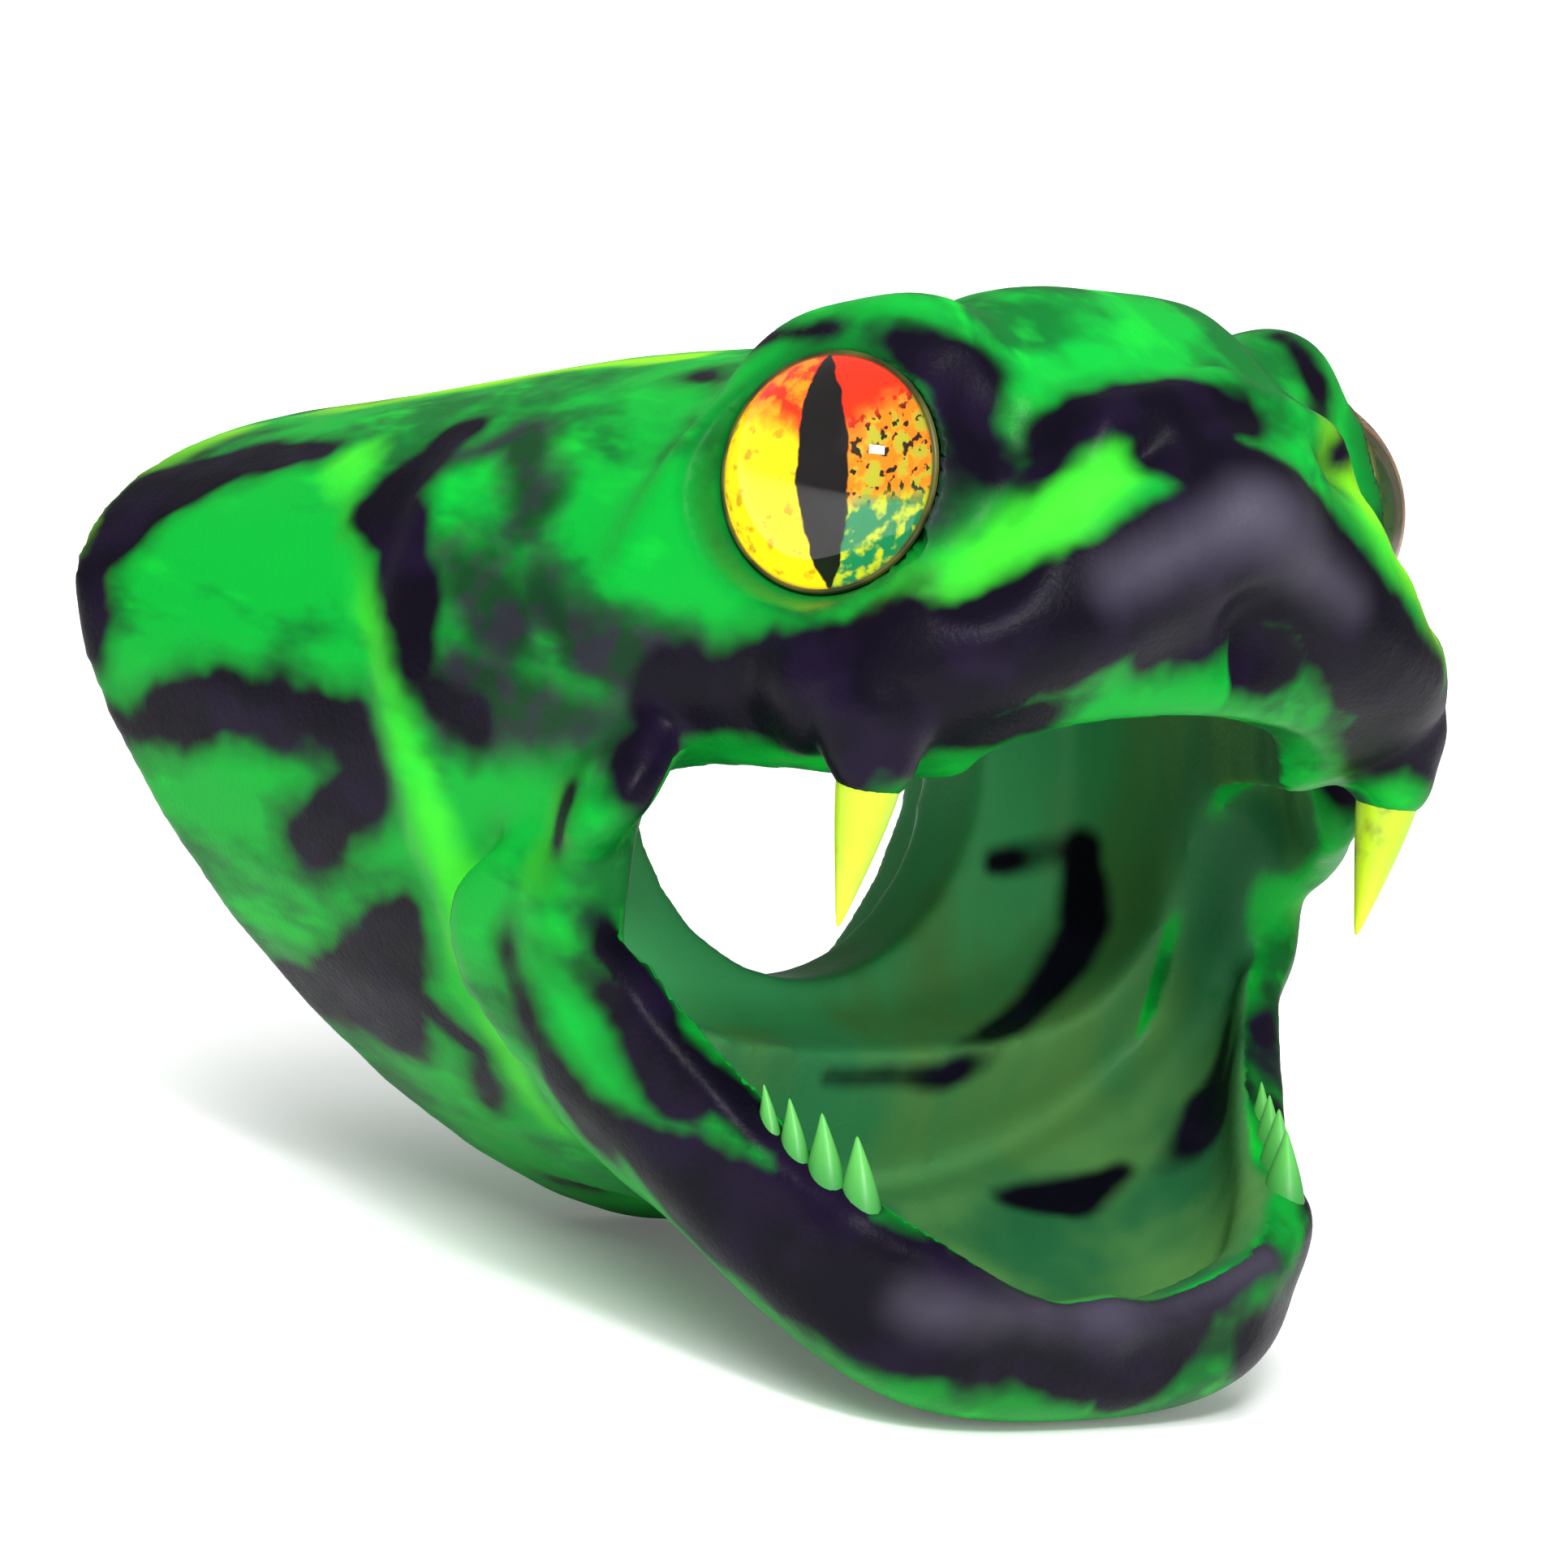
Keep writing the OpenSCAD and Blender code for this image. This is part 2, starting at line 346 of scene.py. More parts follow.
# %% Feet for the fangs and gums for the lower teeth
fang_low, fang_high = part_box("fang_right")
foot_x = (fang_low.x + fang_high.x) / 2 / MM
foot_y = (fang_low.y + fang_high.y) / 2 / MM
for foot in both([(foot_x, foot_y, 35.4), (foot_x, foot_y, 33.6)]):
    add_bar(clay, foot, 2.4)
for number in (1, 2, 3, 4):
    low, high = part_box(f"tooth_right_{number}")
    middle = (low + high) / 2 / MM
    tooth_width = (high.x - low.x) / MM
    for gum in both([(middle.x, middle.y, low.z / MM + 0.4), (middle.x, middle.y, low.z / MM + 2.0)]):
        add_bar(clay, gum, tooth_width * 0.62)
print("clay faces:", len(clay.faces))

# %% Melt the clay into one skin
clay_mesh = bpy.data.meshes.new("skin")
clay.to_mesh(clay_mesh)
clay.free()
skin = bpy.data.objects.new("head_skin", clay_mesh)
bpy.context.scene.collection.objects.link(skin)
add_melt(skin)
apply_modifiers(skin)
print("skin after the first remesh:", len(skin.data.vertices), "points")

# %% [markdown]
# ## The arch of the upper lip
#
# The upper lip rises in the middle like an arch. An egg-shaped cutter takes the
# clay away there, and a second remesh and a smoothing melt the cut's sharp edge.

# %% Carve the arch
arch_middle = Vector((0, -30.5, 31.5)) * MM
arch_stretch = Matrix.Diagonal((14.0 * MM, 7.0 * MM, 5.6 * MM, 1))
arch = bmesh.new()
bmesh.ops.create_icosphere(
    arch, subdivisions=5, radius=1, matrix=Matrix.Translation(arch_middle) @ arch_stretch)
lip_arch = bpy.data.meshes.new("lip_arch")
arch.to_mesh(lip_arch)
arch.free()
cutter = bpy.data.objects.new("lip_arch", lip_arch)
bpy.context.scene.collection.objects.link(cutter)
carve = skin.modifiers.new("carve", "BOOLEAN")
carve.operation = "DIFFERENCE"
carve.solver = "MANIFOLD"
carve.object = cutter
add_melt(skin)
add_smooth(skin, "soften", 14)
apply_modifiers(skin)
bpy.data.objects.remove(cutter)
print("skin after the arch:", len(skin.data.vertices), "points")


# %% [markdown]
# ## Sculpted forms
#
# A sculptor would now push the clay with a thumb: brows over the eyes, a rolled
# snout shaped like a roof, pits behind the nostrils, soft lips. Here a thumb is
# a chain of points with a radius, and it moves each nearby point of the skin
# along the skin's own direction, most in the middle and not at all at the edge.
# The forms are the same on both sides, so one list does for both.

# %% A thumb that follows a path
def chain_distance(points, path):
    """Distance in mm from each point to a line through the path's points."""
    best = np.full(len(points), 1e9)
    for a, b in zip(path, path[1:]):
        a, b = np.array(a[:3], float), np.array(b[:3], float)
        along = np.clip((points - a) @ (b - a) / max((b - a) @ (b - a), 1e-9), 0, 1)
        best = np.minimum(best, np.linalg.norm(points - a - along[:, None] * (b - a), axis=1))
    return best


def read_points(mesh):
    flat = np.empty(len(mesh.vertices) * 3, np.float32)
    mesh.vertices.foreach_get("co", flat)
    return flat.reshape(-1, 3).astype(float) / MM


def read_normals(mesh):
    flat = np.empty(len(mesh.vertices) * 3, np.float32)
    mesh.vertex_normals.foreach_get("vector", flat)
    return flat.reshape(-1, 3).astype(float)


def write_points(mesh, points):
    mesh.vertices.foreach_set("co", (points * MM).astype(np.float32).ravel())
    mesh.update()


def thumb(points, normals, path, radius, push):
    """Moves points near the path: push is mm along the normal, or a vector in mm."""
    for mirror in (1, -1):
        line = [(mirror * x, y, z) for x, y, z in path]
        near = np.clip(chain_distance(points, line) / radius, 0, 1)
        weight = (1 - near * near) ** 2
        if np.isscalar(push):
            points += (weight * push)[:, None] * normals
        else:
            points += weight[:, None] * np.array([push[0] * mirror, push[1], push[2]])


# %% Push the forms
forms = {
    "brow": ([(-12.5, -20, 54.5), (-14.5, -15.5, 53.6), (-15.5, -11, 51)], 4.5, 1.0),
    "between brow and crown": ([(-8.5, -25, 54), (-8.5, -19, 56), (-9, -12, 54)], 4, -1.1),
    "snout roll": ([(-0.1, -32, 47.0), (-7, -31.5, 43.0), (-14, -30, 39.4), (-19.5, -24, 36)], 4.4, 1.5),
    "nostril pit": ([(-6.5, -29.5, 49.4), (-10.5, -29.3, 46), (-15.5, -25.6, 43.5)], 3.2, -2.4),
    "snout ridge": ([(-0.1, -27.5, 52.4), (-4, -28, 51.4), (-9, -28, 49.6), (-13, -26.4, 48)], 2.2, 1.1),
    "groove under the nose": ([(0, -32.5, 43), (0, -32.5, 41)], 2.6, -0.3),
    "lip corner": ([(-20, -22.5, 30.6), (-22, -19, 29.6), (-23, -14, 28.8)], 4.0, (0, 0, -1.7)),
    "hollow before the eye": ([(-12, -25, 50), (-14.5, -26.5, 46.5), (-18, -25, 43)], 4.2, -2.0),
    "snout side": ([(-11.5, -28, 50.5), (-13.5, -29, 47.5), (-15.5, -29, 44.5)], 4.2, -2.3),
    "web swell": ([(-23, -15.5, 27.5), (-23, -14, 22)], 4.6, (-1.6, -0.3, 0)),
    "hood fold": ([(-22, 6, 44), (-25.5, 3, 38), (-26, 1, 30), (-25, -3, 22), (-23, -6, 12)], 2.2, 0.5),
    "lower lip roll": ([(-0.1, -32, 7), (-9, -31.5, 8), (-14.5, -28, 9.5)], 3.4, 0.7),
}
points, normals = read_points(skin.data), read_normals(skin.data)
for name, (path, radius, push) in forms.items():
    thumb(points, normals, path, radius, push)
    print("sculpted:", name)
write_points(skin.data, points)
add_smooth(skin, "polish", 4)
apply_modifiers(skin)

# %% Round off the mouth corners
# The cheek, the web and the arm meet here, so this place is smoothed on its own.
corner_reach = 7.5
corner_fade = 3.0
points = read_points(skin.data)
corner = skin.vertex_groups.new(name="corner")
for mirror in (1, -1):
    away = np.linalg.norm(points - np.array([mirror * -24.0, -12.5, 25.5]), axis=1)
    for i in np.flatnonzero(away < corner_reach):
        corner.add([int(i)], float(min(1, (corner_reach - away[i]) / corner_fade)), "ADD")
add_smooth(skin, "round_off", 60, "corner")
apply_modifiers(skin)
print("points near the mouth corners smoothed")

# %% Press a seat for each eye
# A seat is flat under the dome, with a steep collar round it.
seat_depth = 0.45
seat_radius = 5.75
collar_slope = 2.4
collar_reach = 7.6
seat_reach = 9
points = read_points(skin.data)
for side, (middle, axis) in eye_places.items():
    middle, axis = np.array(middle), np.array(axis)
    height = (points - middle) @ axis
    across = np.linalg.norm(points - middle - height[:, None] * axis, axis=1)
    seat = -seat_depth + collar_slope * np.clip(across - seat_radius, 0, None)
    above = (height > seat) & (across < collar_reach) & (height < seat_reach)
    points[above] -= (height - seat)[above][:, None] * axis
    print(side, "seat: points pressed", int(above.sum()))
write_points(skin.data, points)
for face in skin.data.polygons:
    face.use_smooth = True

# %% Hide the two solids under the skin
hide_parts("head_shell", "lower_jaw")
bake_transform(skin)

# %% [markdown]
# ## The marbling
#
# Marbled silicone is two or three colours swirled in the mould, so the marks
# have soft, ragged edges and each one is its own shape. A picture could be
# wrapped round the head, but marks that are painted with brush strokes on the
# skin itself stay sharp from near and follow the head in every pose. A stroke
# is a few places on the skin with a half width, all in millimetres. Each point
# of the skin keeps its distance to the nearest stroke edge, and the material
# frays that distance into a marbled edge later. The inks are black-violet and
# the smoky strokes are a thin dark haze. The yellow-green strokes are painted
# rim highlights along the head's edges, and the brighter green strokes are
# partly a painted highlight along the hood fold. Where kept_green lies no ink
# shows, and the sheen strokes are a painted highlight: a paler veil over the
# ink on the snout roof and the chin.

# %% Strokes of every colour
right_ink = {
    "hood edge sweep": [
        (-31, 23, 27, 1), (-29, 25, 31, 2), (-26, 25, 36, 3), (-23, 21, 39, 2), (-22, 16, 40, 0.5)],
    "sweep top": [(-27, 27, 38, 2), (-21, 26, 41, 1.5)],
    "middle band": [
        (-31, 24, 22, 1.5), (-28, 13, 27, 1.5), (-26, 4, 28, 1.5), (-26, 2, 25, 1.5), (-26, 7, 21, 1.5)],
    "low blot": [(-24, 0, 19, 1), (-21, 5, 13, 3.5), (-20, 13, 12, 1.5)],
    "blot tail": [(-22, 2, 14, 1), (-19, -2, 12, 0.5), (-17, 0, 8, 1)],
    "under spot": [(-9, 3, 3, 0.5), (-9, -1, 4, 0.5)],
    "cheek band": [(-20, 7, 43, 1), (-24, 7, 39, 2), (-26, 1, 35, 1.5), (-26, -1, 31, 1), (-25, -5, 30, 1)],
    "snout band": [(-22, -16, 34, 2), (-20, -26, 37, 3), (-12, -33, 41, 3), (-3, -34, 48, 3)],
    "lip band": [(-23, -17, 31, 2), (-20, -26, 34, 2), (-14, -32, 38, 2)],
    "lip edge": [(-20, -27, 33, 1), (-11, -31, 36, 1.5)],
    "nose middle": [(-6, -33, 41, 1.5), (0, -34, 43, 3)],
    "forehead streak": [
        (-15, -19, 53, 0.5), (-13, -24, 52, 2), (-13, -27, 49, 2), (-8, -28, 52, 1.5), (0, -30, 52, 1.5)],
    "snout apex": [(-4, -31, 50, 2.5), (0, -33, 49, 2)],
    "over the eye": [(-14, -4, 48, 0.5), (-17, -13, 52, 0.5), (-16, -17, 53, 0.5)],
    "jaw front": [(-22, -16, 12, 1), (-19, -21, 10, 3), (-14, -30, 7, 3.5), (0, -33, 6, 4)],
    "jaw edge": [(-25, -13, 28, 0.5), (-24, -14, 23, 0.5), (-20, -20, 17, 1), (-15, -28, 12, 1.5)],
    # The arm outline and arm inner line are painted shadow lines in ink, where shade falls round the jaw's
    # arm standing proud of the collar.
    "arm outline": [(-25, -11, 20, 0.5), (-21, -15, 11, 1.5)],
    "arm inner line": [(-24, -14, 21, 0.5), (-20, -20, 15, 1.5)],
}
left_ink = {
    "far snout": [(-3, -34, 48, 3), (2, -34, 46, 3), (12, -33, 39, 3), (19, -22, 33, 1.5)],
    "far brow": [(11, -20, 55, 0.5), (11, -24, 53, 1), (7, -30, 50, 0.5)],
}
# Painted highlight: these strokes lay a paler grey-violet sheen over the ink where the snout roof and the
# chin catch the light.
painted_sheen = {
    "snout roof": [(-9, -33, 44, 0), (-2, -34, 48, 1), (6, -34, 44, 0)],
    "chin": [(-13, -32, 7, 0), (0, -33, 7, 0.5), (10, -32, 9, 0)],
}
kept_green = {
    "nostril pit": [(-17, -28, 42, 1), (-13, -30, 46, 2.5), (-8, -30, 49, 1.5)],
    "lip rim": [(-4, -31, 37, 0.5), (4, -31, 38, 1), (8, -31, 37, 0.5)],
}
smoky = {
    "cheek arm": [(-23, 7, 40, 1), (-20, 2, 44, 1), (-22, -3, 41, 1.5)],
    "under the eye": [(-24, -7, 37, 1.5), (-24, -12, 35, 2), (-21, -25, 36, 2.5)],
    "cheek low": [(-25, -3, 31, 2), (-24, -14, 32, 2.5)],
    "cheek fill": [(-25, 1, 38, 1.5), (-24, -6, 35, 2)],
    "brow side": [(-15, -26, 47, 1), (-17, -28, 43, 1)],
}
mouth_ink = {
    "comma": [
        (13, -3, 23, 0.5), (18, -4, 24, 1), (18, -6, 20, 1.5), (15, -7, 17, 1), (5, -11, 13, 0.5),
        (-3, -11, 13, 0)],
    "corner blot": [(18, -18, 13, 2), (15, -18, 11, 1)],
    "corner fork": [(18, -18, 14, 1), (19, -19, 17, 0.5)],
    "corner fork inner": [(18, -17, 14, 1), (20, -16, 17, 0.5)],
    "floor fleck": [(14, -16, 9, 0.5), (11, -16, 8, 1.5), (8, -14, 7, 0.5)],
}
# Painted rim highlights: these yellow-green strokes run along the top edge, the rear edge and the far
# cheek, where light catches the head's edges.
lime_rim_highlight = {
    "top edge": [(-16, 27, 43, 2), (-10, 2, 49, 1)],
    "rear edge": [(-31, 25, 30, 1.5), (-28, 28, 37, 1.5), (-20, 29, 41, 1.5)],
}
far_lime_rim_highlight = {"far cheek": [(8, -28, 50, 2), (13, -30, 43, 2), (17, -28, 40, 1.5)]}
# Brighter green marbling; the hood fold stroke is a painted highlight along the ridge where the hood bends.
fresh_green_and_highlight = {
    "nostril pit": [(-17, -29, 42, 1.5), (-12, -30, 46, 2.5), (-8, -30, 49, 1.5)],
    "hood fold": [(-22, 13, 40, 1), (-26, 2, 33, 1), (-24, -4, 21, 1), (-16, -4, 8, 1)],
    "mouth corner": [(-24, -13, 27, 1), (-24, -13, 24, 1)],
}
stroke_groups = (right_ink, left_ink, painted_sheen, kept_green, smoky, mouth_ink, lime_rim_highlight, far_lime_rim_highlight, fresh_green_and_highlight)
print("strokes:", sum(len(group) for group in stroke_groups))


# %% Distance helpers
def stroke_distance(points, strokes):
    """Signed distance in mm to the nearest stroke's edge: below zero is inside it."""
    best = np.full(len(points), 99.0)
    for stroke in strokes:
        for a, b in zip(stroke, stroke[1:]):
            start, end = np.array(a[:3], float), np.array(b[:3], float)
            span = end - start
            along = np.clip((points - start) @ span / (span @ span), 0, 1)
            away = np.linalg.norm(points - start - along[:, None] * span, axis=1)
            best = np.minimum(best, away - (a[3] + along * (b[3] - a[3])))
    return best


def mirrored(strokes):
    return [[(-x, y, z, r) for x, y, z, r in stroke] for stroke in strokes]


def save_channel(mesh, name, values):
    channel = mesh.attributes.new(name, "FLOAT", "POINT")
    channel.data.foreach_set("value", values.astype(np.float32))


def save_places(mesh, points):
    """Keeps each point's place at rest, in mm, so that a pattern doesn't slide in other poses."""
    places = mesh.attributes.new("rest_mm", "FLOAT_VECTOR", "POINT")
    places.data.foreach_set("vector", np.array(points, np.float32).ravel())


def ramp(value, low, high):
    t = np.clip((value - low) / (high - low), 0, 1)
    return t * t * (3 - 2 * t)


def facing(points, normals, middle):
    """How squarely each point faces a place: 1 when it looks straight at it."""
    toward = np.array(middle, float) - points
    return np.sum(normals * toward, axis=1) / np.linalg.norm(toward, axis=1)


def in_box(points, across, along, up):
    """True where the distance from the middle plane, y and z all lie between their limits."""
    inside = np.ones(len(points), bool)
    for value, limits in zip((np.abs(points[:, 0]), points[:, 1], points[:, 2]), (across, along, up)):
        inside &= (value > limits[0]) & (value < limits[1])
    return inside


# %% Which points are inner ones
# A point that faces the middle of the mouth or of the hood's hollow is an inner one.
points, normals = read_points(skin.data), read_normals(skin.data)
hollow = np.maximum(
    np.where(points[:, 1] < 4, facing(points, normals, (0, -12, 24)), -1),
    np.where(points[:, 1] > 0, facing(points, normals, (0, 15, 27)), -1))
web_inside = in_box(points, (18, 99), (-19, -9), (19, 31.5))
hollow = np.maximum(hollow, np.where(web_inside, -normals[:, 0] * np.sign(points[:, 0]), -1))
throat_wall = in_box(points, (-1, 18.5), (-13, 3), (4, 38))
hollow = np.maximum(hollow, np.where(throat_wall, -normals[:, 1], -1))
rim_share = ramp(np.maximum(np.abs(points[:, 0]) / 17, -points[:, 1] / 24), 0.85, 1.05)
inner = ramp(hollow - 0.38 * rim_share, 0.10, 0.36)
print("inner points:", int((inner > 0.5).sum()))

# %% Distance from every point of the skin to the strokes
# The far side repeats the near side's marks, bent by a slow swirl so that they differ.
swirl = points + 1.6 * np.sin(points[:, [1, 2, 0]] * 0.55 + 1.0)
left = points[:, 0] > 0
plain_ink = stroke_distance(points, list(right_ink.values()) + list(left_ink.values()))
one_sided = ("snout apex", "forehead streak", "snout band")
shared_ink = [stroke for name, stroke in right_ink.items() if name not in one_sided]
mirror_ink = stroke_distance(swirl, mirrored(shared_ink))
outer_ink = np.where(left, np.minimum(plain_ink, mirror_ink), plain_ink)
outer_ink = np.maximum(outer_ink, -stroke_distance(points, kept_green.values()))
inner_ink = stroke_distance(points, mouth_ink.values())
save_channel(skin.data, "ink_mm", outer_ink * (1 - inner) + inner_ink * inner)
smoke = np.minimum(
    stroke_distance(points, smoky.values()), stroke_distance(swirl, mirrored(smoky.values())))
save_channel(skin.data, "smoke_mm", smoke * (1 - inner) + 9 * inner)
# The yellow-green strokes among these are painted rim highlights.
for name, strokes in (("lime_rim_highlight_mm", lime_rim_highlight), ("fresh_green_and_highlight_mm", fresh_green_and_highlight)):
    nearest = np.minimum(
        stroke_distance(points, strokes.values()), stroke_distance(swirl, mirrored(strokes.values())))
    if strokes is lime_rim_highlight:
        nearest = np.minimum(nearest, stroke_distance(points, far_lime_rim_highlight.values()))
    save_channel(skin.data, name, nearest)
# Painted shade: the skin is painted darker in a ring round each eye, where the skin folds over the glass.
eye_ring_shade = np.zeros(len(points))
for middle, axis in eye_places.values():
    offset = points - np.array(middle)
    height = offset @ np.array(axis)
    across = np.linalg.norm(offset - height[:, None] * np.array(axis), axis=1)
    eye_ring_shade = np.maximum(eye_ring_shade, np.where((height > -2) & (height < 6), 1 - ramp(across, 6.4, 8.0), 0))
save_channel(skin.data, "eye_ring_shade", eye_ring_shade)
# Distance to the painted highlight strokes on the snout roof and the chin.
save_channel(skin.data, "painted_sheen_mm", stroke_distance(points, painted_sheen.values()))
save_channel(skin.data, "inner", inner)
save_places(skin.data, points)
print("inked points:", int((outer_ink < 0).sum()))

# %% [markdown]
# ## Wiring materials
#
# A material is a tree of nodes. Two small helpers keep the wiring readable: one
# places a node and joins its inputs, and one turns a distance into a soft mask.
# The faint grain of a mould is on every silicone piece, so it is a shared node
# group.

# %% Node helpers
def add_node(tree, kind, settings=(), **inputs):
    made = tree.nodes.new(kind)
    for name, value in dict(settings).items():
        setattr(made, name, value)
    for name, value in inputs.items():
        key = int(name[1:]) if name[1:].isdigit() else name.replace("_", " ")
        socket = made.inputs[key]
        if isinstance(value, bpy.types.NodeSocket):
            tree.links.new(value, socket)
        else:
            socket.default_value = value
    return made


def calc(tree, operation, *values):
    names = {f"i{i}": value for i, value in enumerate(values)}
    return add_node(tree, "ShaderNodeMath", {"operation": operation}, **names).outputs[0]


def soft_mask(tree, value, zero_at, one_at):
    """1 on the one_at side and 0 on the zero_at side, with a soft step between."""
    flip = zero_at > one_at
    low, high = min(zero_at, one_at), max(zero_at, one_at)
    made = add_node(
        tree, "ShaderNodeMapRange", {"interpolation_type": "SMOOTHSTEP"},
        Value=value, From_Min=low, From_Max=high)
    made.inputs["To Min"].default_value = 1.0 if flip else 0.0
    made.inputs["To Max"].default_value = 0.0 if flip else 1.0
    return made.outputs[0]


def blend_colours(tree, amount, under, over):
    made = tree.nodes.new("ShaderNodeMix")
    made.data_type = "RGBA"
    for socket, value in ((made.inputs[0], amount), (made.inputs[6], under), (made.inputs[7], over)):
        if isinstance(value, bpy.types.NodeSocket):
            tree.links.new(value, socket)
        elif isinstance(value, tuple):
            socket.default_value = (*value, 1)
        else:
            socket.default_value = value
    return made.outputs[2]


def noise(tree, place, scale, detail=3.0, stretch=(1, 1, 1)):
    mapped = add_node(tree, "ShaderNodeMapping", Vector=place, Scale=stretch).outputs[0]
    return add_node(tree, "ShaderNodeTexNoise", Vector=mapped, Scale=scale, Detail=detail).outputs[0]


def channel(tree, name):
    return add_node(tree, "ShaderNodeAttribute", {"attribute_name": name}).outputs["Fac"]


def rest_place(tree):
    return add_node(tree, "ShaderNodeAttribute", {"attribute_name": "rest_mm"}).outputs["Vector"]


def linear(red, green, blue):
    """A colour as it is seen, 0 to 255, turned into the light it stands for."""
    return tuple(
        ((c / 255 + 0.055) / 1.055) ** 2.4 if c > 10 else c / 255 / 12.92 for c in (red, green, blue))


def new_material(name):
    made = bpy.data.materials.new(name)
    made.use_nodes = True
    return made, made.node_tree, made.node_tree.nodes["Principled BSDF"]


# %% The shared grain
grain = bpy.data.node_groups.new("moulded_grain", "ShaderNodeTree")
grain.interface.new_socket("Place", in_out="INPUT", socket_type="NodeSocketVector")
grain.interface.new_socket("Height", in_out="OUTPUT", socket_type="NodeSocketFloat")
grain.interface.new_socket("Roughness", in_out="OUTPUT", socket_type="NodeSocketFloat")
grain_in = grain.nodes.new("NodeGroupInput")
grain_out = grain.nodes.new("NodeGroupOutput")
fine = noise(grain, grain_in.outputs["Place"], 3.2, 3.0)
broad = noise(grain, grain_in.outputs["Place"], 0.5, 2.0)
height = calc(grain, "ADD", calc(grain, "MULTIPLY", fine, 0.6), calc(grain, "MULTIPLY", broad, 0.4))
uneven_gloss = calc(grain, "ADD", calc(grain, "MULTIPLY", broad, 0.22), 0.30)
grain.links.new(height, grain_out.inputs["Height"])
grain.links.new(uneven_gloss, grain_out.inputs["Roughness"])


def use_grain(tree, shader, depth_mm):
    """Gives a material the moulded grain, as a bump and as uneven gloss."""
    grains = add_node(tree, "ShaderNodeGroup", {"node_tree": grain}, Place=rest_place(tree))
    tree.links.new(grains.outputs["Roughness"], shader.inputs["Roughness"])
    bump = add_node(tree, "ShaderNodeBump", Height=grains.outputs["Height"])
    bump.inputs["Strength"].default_value = 0.5
    bump.inputs["Distance"].default_value = depth_mm * MM
    tree.links.new(bump.outputs["Normal"], shader.inputs["Normal"])


print("shared group:", grain.name)

# %% [markdown]
# ## The marbled silicone
#
# The casting is one material with several colours in it. It could be several
# materials, but their borders would follow the faces of the mesh and look cut.
# Here each saved distance, frayed by noise, becomes a soft mask, and the masks
# lay the colours over each other: greens first, with painted rim highlights and
# a ring of painted shade round each eye, then haze, the paler inside of the
# mouth, and the ink last, with a painted highlight on it. Deeper in the mouth
# the inside is painted lighter, as painted light against the shade there.

# %% Marbled silicone
marbled, tree, shader = new_material("marbled_silicone")
place = rest_place(tree)
fray = calc(tree, "MULTIPLY", calc(tree, "SUBTRACT", noise(tree, place, 0.26, 2.0), 0.5), 2.8)
drift = calc(tree, "MULTIPLY", calc(tree, "SUBTRACT", noise(tree, place, 0.13, 3.0), 0.5), 5.0)
inner_mask = channel(tree, "inner")
calm = calc(tree, "SUBTRACT", 1.0, calc(tree, "MULTIPLY", inner_mask, 0.7))
ink_edge = calc(tree, "ADD", channel(tree, "ink_mm"), calc(tree, "MULTIPLY", fray, calm))
smoke_edge = calc(tree, "ADD", channel(tree, "smoke_mm"), drift)
lime_rim_highlight_edge = calc(tree, "ADD", channel(tree, "lime_rim_highlight_mm"), fray)
fresh_and_highlight_edge = calc(tree, "ADD", channel(tree, "fresh_green_and_highlight_mm"), fray)
veil = soft_mask(tree, noise(tree, place, 0.13, 4.0, (1.0, 0.6, 1.4)), 0.47, 0.63)
green = blend_colours(tree, veil, linear(4, 148, 44), linear(6, 94, 34))
streak = soft_mask(tree, noise(tree, place, 0.20, 3.0, (1.6, 0.5, 1.6)), 0.54, 0.72)
green = blend_colours(tree, streak, green, linear(10, 168, 44))
# Brighter green, partly a painted highlight along the hood fold.
green = blend_colours(tree, soft_mask(tree, fresh_and_highlight_edge, 1.6, -0.8), green, linear(54, 190, 40))
# Painted rim highlights in yellow-green along the head's edges.
green = blend_colours(tree, soft_mask(tree, lime_rim_highlight_edge, 1.6, -1.0), green, linear(134, 216, 10))
olive = soft_mask(tree, ink_edge, 2.2, 0.4)
green = blend_colours(tree, calc(tree, "MULTIPLY", olive, 0.5), green, linear(10, 66, 24))
# Painted shade: a dark ring round each eye.
green = blend_colours(tree, calc(tree, "MULTIPLY", channel(tree, "eye_ring_shade"), 0.7), green, linear(8, 62, 26))
dust = soft_mask(tree, noise(tree, place, 0.5, 5.0), 0.42, 0.6)
dusty = blend_colours(tree, dust, linear(14, 40, 24), linear(34, 26, 42))
smoke_share = calc(tree, "MULTIPLY", soft_mask(tree, smoke_edge, 1.8, -1.2), 0.94)
green = blend_colours(tree, smoke_share, green, dusty)
# Painted light: deeper in the mouth the inside is painted lighter, against the shade that falls there.
painted_depth_light = soft_mask(tree, add_node(tree, "ShaderNodeSeparateXYZ", Vector=place).outputs["Y"], -15.0, -4.0)
cave = blend_colours(tree, painted_depth_light, linear(32, 88, 52), linear(58, 146, 86))
haze = soft_mask(tree, noise(tree, place, 0.1, 3.0, (1, 1, 0.35)), 0.42, 0.70)
cave = blend_colours(tree, haze, cave, linear(74, 120, 62))
outside = blend_colours(tree, inner_mask, green, cave)
purple = soft_mask(tree, noise(tree, place, 0.2, 2.0), 0.45, 0.7)
violet = blend_colours(tree, purple, linear(8, 5, 16), linear(18, 10, 30))
